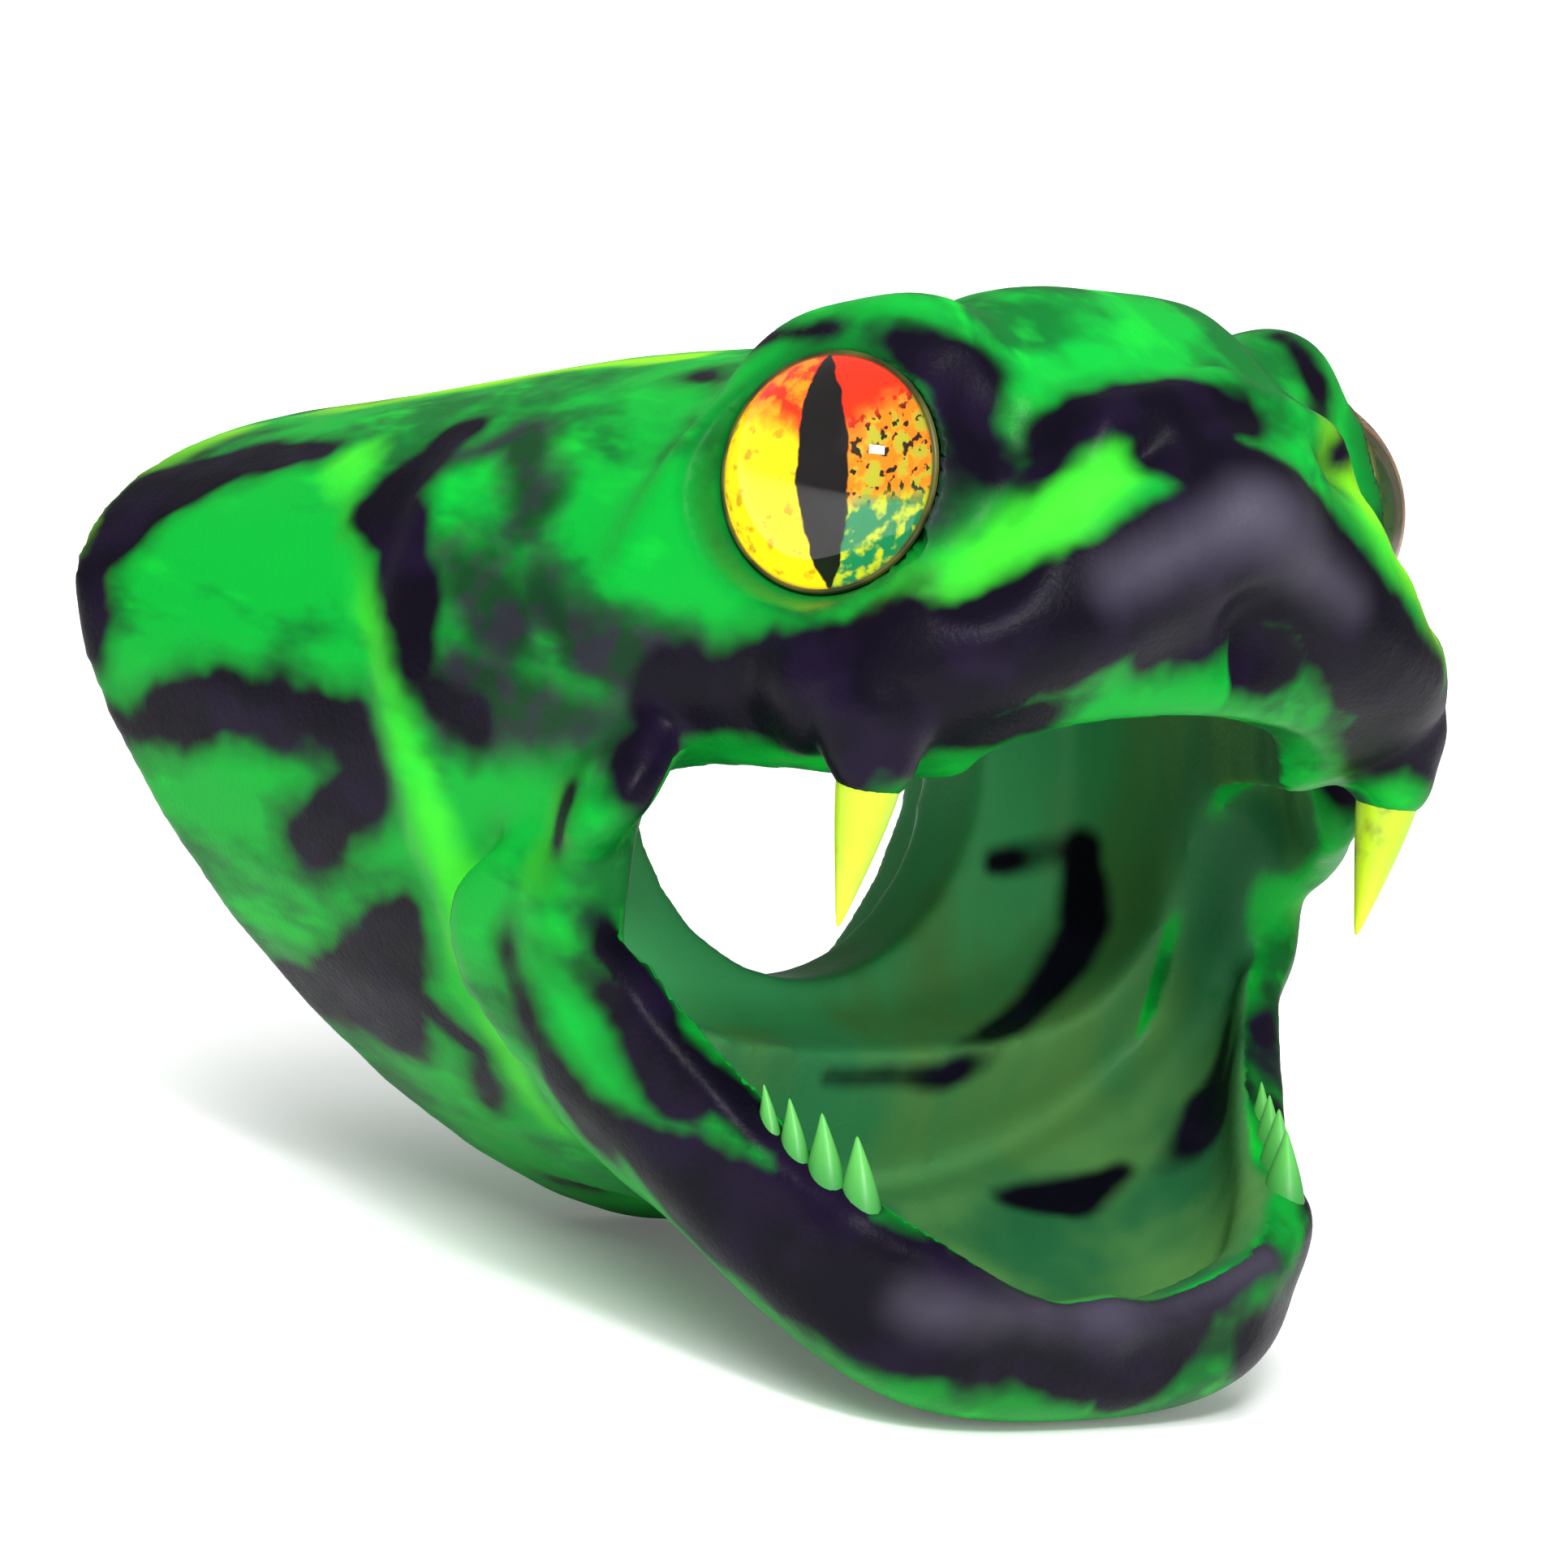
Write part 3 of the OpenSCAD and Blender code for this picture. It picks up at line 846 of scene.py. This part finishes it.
# Painted highlight: a paler grey-violet sheen over the ink on the snout roof and the chin.
sheen_edge = calc(tree, "ADD", channel(tree, "painted_sheen_mm"), calc(tree, "MULTIPLY", drift, 0.5))
sheen_share = calc(tree, "MULTIPLY", soft_mask(tree, sheen_edge, 2.6, -1.4), 0.8)
violet = blend_colours(tree, sheen_share, violet, linear(70, 66, 80))
skin_colour = blend_colours(tree, soft_mask(tree, ink_edge, 0.9, -0.3), outside, violet)
tree.links.new(skin_colour, shader.inputs["Base Color"])
use_grain(tree, shader, 0.10)
shader.inputs["Specular IOR Level"].default_value = 0.1
skin.data.materials.clear()
skin.data.materials.append(marbled)
print("materials on the skin:", len(skin.data.materials))

# %% [markdown]
# ## The glass eyes
#
# Each eye is a cabochon: a clear glass dome on a printed disc. A picture of an
# iris would need a file, so the print is made of masks. The disc is a fan of
# rings whose points know how far across and how far up the eye they are, and
# the masks turn these two numbers into a slit pupil, a yellow half and a fiery
# half.

# %% A surface through rings
def rings_object(name, rings, closed_tip=False):
    """A surface through rings of points, all with the same count."""
    points = [p for ring in rings for p in ring]
    count = len(rings[0])
    faces = [
        (r * count + i, r * count + (i + 1) % count, (r + 1) * count + (i + 1) % count, (r + 1) * count + i)
        for r in range(len(rings) - 1) for i in range(count)]
    if closed_tip:
        faces.append(tuple((len(rings) - 1) * count + i for i in range(count)))
    made = mesh_object(name, [Vector(p) * MM for p in points], faces)
    for face in made.data.polygons:
        face.use_smooth = True
    return made


# %% Iris discs
eye_radius = 5.9
eye_sides = 96
iris_rings = 24
print_height = 0.42
eye_parts = {}
for side, (middle, axis) in eye_places.items():
    level = camera_right if side == "right" else Vector((-camera_right.x, camera_right.y, camera_right.z))
    eye_up = axis.cross(level).normalized()
    eye_up = eye_up if eye_up.z > 0 else -eye_up
    eye_right = eye_up.cross(axis)
    rings, across, up = [], [], []
    for r in range(1, iris_rings + 1):
        ring = []
        for i in range(eye_sides):
            turn = math.tau * i / eye_sides
            a, b = math.cos(turn) * r / iris_rings, math.sin(turn) * r / iris_rings
            ring.append(middle + axis * print_height + (eye_right * a + eye_up * b) * eye_radius)
            across.append(a)
            up.append(b)
        rings.append(ring)
    iris = rings_object(f"iris_print_{side}", rings[::-1], closed_tip=True)
    for name, values in (("across", across), ("up", up)):
        save_channel(iris.data, name, np.array(values).reshape(iris_rings, eye_sides)[::-1].ravel())
    save_places(iris.data, [p for ring in rings[::-1] for p in ring])
    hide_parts(f"iris_disc_{side}")
    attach(iris, "head")
    eye_parts[side] = (iris, eye_up, eye_right)
print("iris rings:", len(rings))

# %% [markdown]
# ## The iris print
#
# A printed iris is a flat picture under glass. Masks on the two saved numbers
# give its big shapes, and noise gives the mottling and the dark flecks.

# %% Iris print
print_ink, tree, shader = new_material("iris_print")
# The dome magnifies the print, so the pattern is drawn smaller than it is seen.
across = calc(tree, "MULTIPLY", channel(tree, "across"), 1.3)
up = calc(tree, "MULTIPLY", channel(tree, "up"), 1.04)
place = rest_place(tree)
wobble = calc(tree, "MULTIPLY", calc(tree, "SUBTRACT", noise(tree, place, 1.1, 4.0), 0.5), 0.22)
mottle = noise(tree, place, 1.3, 4.0)
flecks = noise(tree, place, 2.4, 2.0)
high = calc(tree, "ADD", up, wobble)
mustard = soft_mask(tree, mottle, 0.55, 0.68)
yellow_half = blend_colours(tree, mustard, linear(222, 190, 6), linear(158, 130, 8))
hot = blend_colours(tree, soft_mask(tree, mottle, 0.40, 0.6), linear(222, 34, 6), linear(240, 120, 10))
hot_top = soft_mask(tree, calc(tree, "ADD", high, calc(tree, "MULTIPLY", across, 0.5)), -0.10, 0.30)
yellow_half = blend_colours(tree, hot_top, yellow_half, hot)
brown = blend_colours(tree, soft_mask(tree, mottle, 0.45, 0.60), linear(190, 104, 12), linear(142, 140, 34))
brown = blend_colours(tree, soft_mask(tree, flecks, 0.56, 0.61), brown, linear(28, 16, 4))
swamp = blend_colours(tree, soft_mask(tree, mottle, 0.38, 0.52), linear(150, 166, 26), linear(14, 104, 62))
fire_half = blend_colours(tree, soft_mask(tree, high, -0.34, -0.14), swamp, brown)
ember = calc(tree, "SUBTRACT", high, calc(tree, "MULTIPLY", across, 0.45))
fire_half = blend_colours(tree, soft_mask(tree, ember, 0.04, 0.34), fire_half, linear(212, 34, 6))
halves = soft_mask(tree, calc(tree, "ADD", across, wobble), -0.05, 0.05)
iris_colour = blend_colours(tree, halves, yellow_half, fire_half)
belly = calc(tree, "SUBTRACT", 1.0, calc(tree, "MULTIPLY", up, up))
ragged = calc(tree, "ADD", across, calc(tree, "MULTIPLY", wobble, 0.5))
slit = calc(tree, "SUBTRACT", calc(tree, "ABSOLUTE", ragged), calc(tree, "MULTIPLY", belly, 0.24))
iris_colour = blend_colours(tree, soft_mask(tree, slit, 0.03, 0.0), iris_colour, linear(8, 6, 6))
# The print turns dark olive at its outer edge: partly the print's own edge and partly a painted shadow of
# the gap under the dome's rim.
plain_across, plain_up = channel(tree, "across"), channel(tree, "up")
across_squared = calc(tree, "MULTIPLY", plain_across, plain_across)
up_squared = calc(tree, "MULTIPLY", plain_up, plain_up)
rim = calc(tree, "SQRT", calc(tree, "ADD", across_squared, up_squared))
iris_colour = blend_colours(tree, soft_mask(tree, rim, 0.90, 0.98), iris_colour, linear(60, 56, 22))
tree.links.new(iris_colour, shader.inputs["Base Color"])
shader.inputs["Roughness"].default_value = 0.7
shader.inputs["Specular IOR Level"].default_value = 0.1
for iris, _, _ in eye_parts.values():
    iris.data.materials.append(print_ink)
print("printed irises:", len(eye_parts))

# %% [markdown]
# ## The glass
#
# A cabochon is a slice of a ball of glass. Its profile is worked out from the
# ball's radius and turned round the eye's own direction. The print lies a little
# inside the glass, because a thin layer of air between the two would mirror it.

# %% Glass domes
glass, tree, shader = new_material("eye_glass")
shader.inputs["Base Color"].default_value = (1, 1, 1, 1)
shader.inputs["Metallic"].default_value = 0.0
shader.inputs["Transmission Weight"].default_value = 1.0
shader.inputs["IOR"].default_value = 1.5
shader.inputs["Roughness"].default_value = 0.03
dome_height = 3.4
dome_ball = (eye_radius ** 2 + dome_height ** 2) / (2 * dome_height)
dome_base = 0.34
girdle = 0.3
dome_steps = 18
for side, (middle, axis) in eye_places.items():
    _, eye_up, eye_right = eye_parts[side]
    base = middle + axis * dome_base
    widest = math.asin(eye_radius / dome_ball)
    profile = [(0.01, 0.0), (eye_radius - 0.15, 0.0), (eye_radius, 0.12)]
    for step in range(dome_steps + 1):
        angle = widest * (1 - step / dome_steps)
        radius = max(dome_ball * math.sin(angle), 0.01)
        profile.append((radius, girdle + dome_ball * (math.cos(angle) - math.cos(widest))))
    rings = [
        circle(base + axis * height, eye_right, eye_up, radius, eye_sides) for radius, height in profile]
    dome = rings_object(f"glass_dome_{side}", rings, closed_tip=True)
    dome.data.materials.append(glass)
    dome.visible_shadow = False
    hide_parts(f"eye_glass_{side}")
    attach(dome, "head")
print("dome height in mm:", round(girdle + dome_height, 2))

# %% Dark rings of painted shadow
# A thin dark ring round the base of each dome stands for the shadowed gap where the silicone grips it; its
# dark colour is painted shade.
shadow_ring_stuff, tree, shader = new_material("painted_shadow_ring")
places = add_node(tree, "ShaderNodeNewGeometry").outputs["Position"]
speckle = soft_mask(tree, noise(tree, places, 300.0), 0.4, 0.6)
shadow_ring_colour = blend_colours(tree, speckle, linear(34, 40, 14), linear(70, 70, 26))
tree.links.new(shadow_ring_colour, shader.inputs["Base Color"])
shader.inputs["Roughness"].default_value = 0.35
for side, (middle, axis) in eye_places.items():
    _, eye_up, eye_right = eye_parts[side]
    rings = []
    for j in range(9):
        roll = math.tau * j / 8
        radius = eye_radius + 0.02 + 0.17 * math.cos(roll)
        height = 0.55 + 0.22 * math.sin(roll)
        rings.append(circle(middle + axis * height, eye_right, eye_up, radius, eye_sides))
    shadow_ring = rings_object(f"bezel_{side}", rings)
    shadow_ring.data.materials.append(shadow_ring_stuff)
    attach(shadow_ring, "head")
print("bezels:", len(eye_places))

# %% [markdown]
# ## The window in the eye
#
# A glass dome mirrors the room, and a bright window on it makes it read as
# glass. The mirror law says where the lamp must be: the direction from the
# glass to the lens, reflected about the glass's own direction.

# %% Window lamp
middle, axis = eye_places["right"]
_, eye_up, eye_right = eye_parts["right"]
glint_across, glint_up = 0.66, 0.06
lean = math.asin(glint_across * eye_radius / dome_ball)
glint_facing = (axis * math.cos(lean) + eye_right * math.sin(lean) + eye_up * glint_up).normalized()
glint = middle + axis * 3.0 + eye_right * glint_across * eye_radius
to_lens = (camera_place / MM - glint).normalized()
to_lamp = (2 * glint_facing.dot(to_lens) * glint_facing - to_lens).normalized()
window_place = glint + to_lamp * 260
soft_lamp("window_lamp", window_place, glint, (0.055, 0.032), 0.45, mirrored_in_gloss=True)
print("window lamp stands at:", [round(c) for c in window_place])

# %% [markdown]
# ## Fangs and lower teeth
#
# They are cast separately in a brighter silicone and set into the lips. A cone
# would look turned on a lathe, so each one is a stack of rings along a bent
# middle line, swelling a little above the root and thinning to a blunt point.

# %% A bent tooth
tooth_sides = 20


def tooth_piece(name, low, high, point_down, bend, flat, profile):
    """A bent, swelling tooth in a CAD box, given in mm.

    Each pair of the profile is a share of the length and a share of the half width.
    """
    middle = (low + high) / 2
    half = (high.x - low.x) / 2
    rings = []
    for share, width in profile:
        z = high.z - share * (high.z - low.z) if point_down else low.z + share * (high.z - low.z)
        centre = Vector((middle.x + bend[0] * share * share, middle.y + bend[1] * share * share, z))
        turns = [math.tau * i / tooth_sides for i in range(tooth_sides)]
        rings.append([
            centre + Vector((math.cos(turn) * half * width * flat, math.sin(turn) * half * width, 0))
            for turn in turns])
    made = rings_object(name, rings, closed_tip=True)
    smooth = made.modifiers.new("smooth", "SUBSURF")
    smooth.levels = smooth.render_levels = 1
    apply_modifiers(made)
    points = read_points(made.data)
    root = high.z if point_down else low.z
    save_places(made.data, points)
    save_channel(made.data, "share", np.abs(points[:, 2] - root) / (high.z - low.z))
    return made


# %% Fangs
fang_profile = [
    (0.0, 0.9), (0.12, 1.0), (0.3, 0.92), (0.5, 0.72),
    (0.7, 0.47), (0.86, 0.25), (0.96, 0.12), (1.0, 0.04)]
fang_stuff, tree, shader = new_material("fang_silicone")
share = channel(tree, "share")
stain = soft_mask(tree, noise(tree, rest_place(tree), 0.45, 3.0), 0.52, 0.7)
fang_colour = blend_colours(tree, stain, linear(170, 206, 18), linear(128, 136, 34))
fang_colour = blend_colours(tree, soft_mask(tree, share, 0.5, 1.0), fang_colour, linear(196, 218, 40))
tree.links.new(fang_colour, shader.inputs["Base Color"])
use_grain(tree, shader, 0.04)
for side in ("right", "left"):
    low, high = (Vector(corner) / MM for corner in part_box(f"fang_{side}"))
    fang = tooth_piece(f"long_fang_{side}", low, high, True, (0, 0.5), 0.95, fang_profile)
    fang.data.materials.append(fang_stuff)
    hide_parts(f"fang_{side}")
    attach(fang, "head")
print("fang length in mm:", round(high.z - low.z, 1))

# %% Lower teeth
tooth_profile = [
    (0.0, 0.85), (0.12, 1.15), (0.3, 1.38), (0.48, 1.26),
    (0.64, 0.95), (0.8, 0.56), (0.92, 0.26), (1.0, 0.06)]
tooth_stuff, tree, shader = new_material("tooth_silicone")
share = channel(tree, "share")
tooth_colour = blend_colours(
    tree, soft_mask(tree, share, 0.3, 1.0), linear(40, 118, 50), linear(84, 168, 76))
tree.links.new(tooth_colour, shader.inputs["Base Color"])
use_grain(tree, shader, 0.04)
for side, lean in (("right", -1), ("left", 1)):
    for number in (1, 2, 3, 4):
        low, high = (Vector(corner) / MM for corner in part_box(f"tooth_{side}_{number}"))
        bend = (0.25 * lean, 1.1)
        tooth = tooth_piece(f"claw_{side}_{number}", low, high, False, bend, 0.75, tooth_profile)
        tooth.data.materials.append(tooth_stuff)
        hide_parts(f"tooth_{side}_{number}")
        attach(tooth, "jaw")
